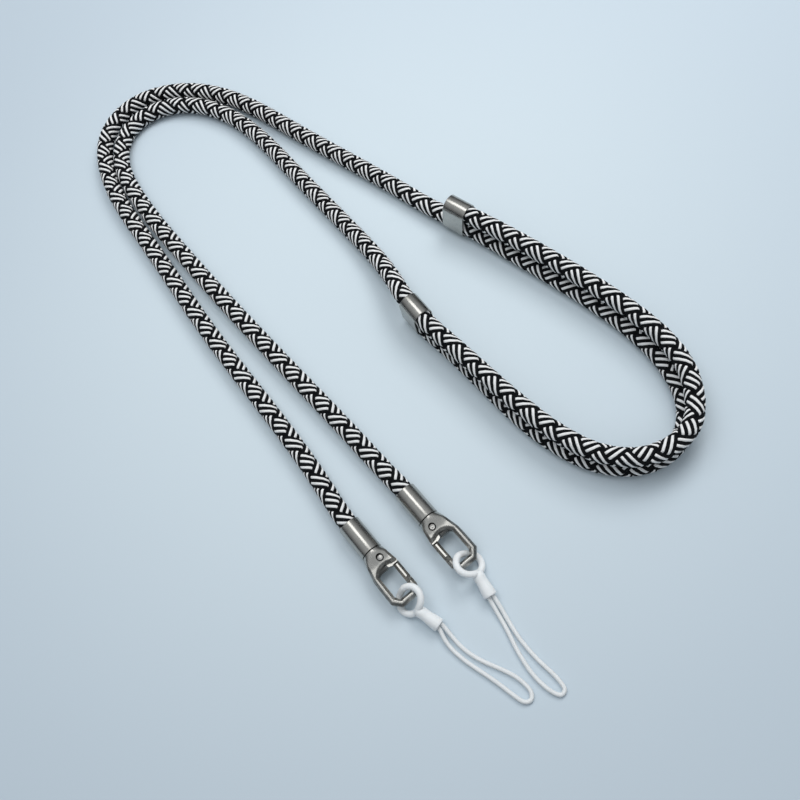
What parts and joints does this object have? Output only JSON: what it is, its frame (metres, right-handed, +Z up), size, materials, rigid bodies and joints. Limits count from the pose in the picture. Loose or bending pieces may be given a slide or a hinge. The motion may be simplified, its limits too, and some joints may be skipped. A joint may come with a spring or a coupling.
{
  "type": "phone crossbody strap",
  "caption": "Crossbody strap of braided black and white rope with metal sliders, end caps, swivel clips and soft white phone tethers.",
  "frame": {"origin": "middle of the overall box, on the table that the strap lies on", "axes": "+Z up from the table, +Y from the phone clips towards the ropes' far bend, +X from the clips' ropes towards the sliders' ropes"},
  "size_m": [0.1562, 0.3612, 0.0175],
  "materials": {
    "braid": "round braid of glossy white and matt black yarns",
    "brushed_steel": "satin nickel, brushed along the piece",
    "spring_steel": "plain drawn wire",
    "soft_white": "soft moulded plastic, satin",
    "white_cord": "fine tight nylon cord"
  },
  "bodies": {
    "strap": {"rope_outer": "braid", "rope_inner": "braid", "slider_upper": "brushed_steel", "slider_lower": "brushed_steel", "end_cap_left": "brushed_steel", "end_cap_right": "brushed_steel"},
    "clip_left": {"clip_body_left": "brushed_steel", "gate_pin_left": "brushed_steel", "gate_spring_left": "spring_steel", "tether_ring_left": "soft_white", "tether_cord_left": "white_cord"},
    "gate_left": {"clip_gate_left": "brushed_steel"},
    "clip_right": {"clip_body_right": "brushed_steel", "gate_pin_right": "brushed_steel", "gate_spring_right": "spring_steel", "tether_ring_right": "soft_white", "tether_cord_right": "white_cord"},
    "gate_right": {"clip_gate_right": "brushed_steel"}
  },
  "joints": [
    {"name": "swivel_left", "type": "hinge", "parent": "strap", "child": "clip_left", "pos_m": [-0.07112, -0.09357, 0.0047], "axis": [0, -1, 0], "continuous": true},
    {"name": "swivel_right", "type": "hinge", "parent": "strap", "child": "clip_right", "pos_m": [-0.04542, -0.09787, 0.0047], "axis": [0, -1, 0], "continuous": true},
    {"name": "gate_open_left", "type": "hinge", "parent": "clip_left", "child": "gate_left", "pos_m": [-0.06992, -0.09767, 0.0047], "axis": [0, 0, -1], "range_deg": [0, 28], "stiffness_Nm_per_rad": 0.05, "springref_deg": -5.73, "deforming": ["gate_spring_left"]},
    {"name": "gate_open_right", "type": "hinge", "parent": "clip_right", "child": "gate_right", "pos_m": [-0.04662, -0.10197, 0.0047], "axis": [0, 0, 1], "range_deg": [0, 28], "stiffness_Nm_per_rad": 0.05, "springref_deg": -5.73, "deforming": ["gate_spring_right"]}
  ]
}
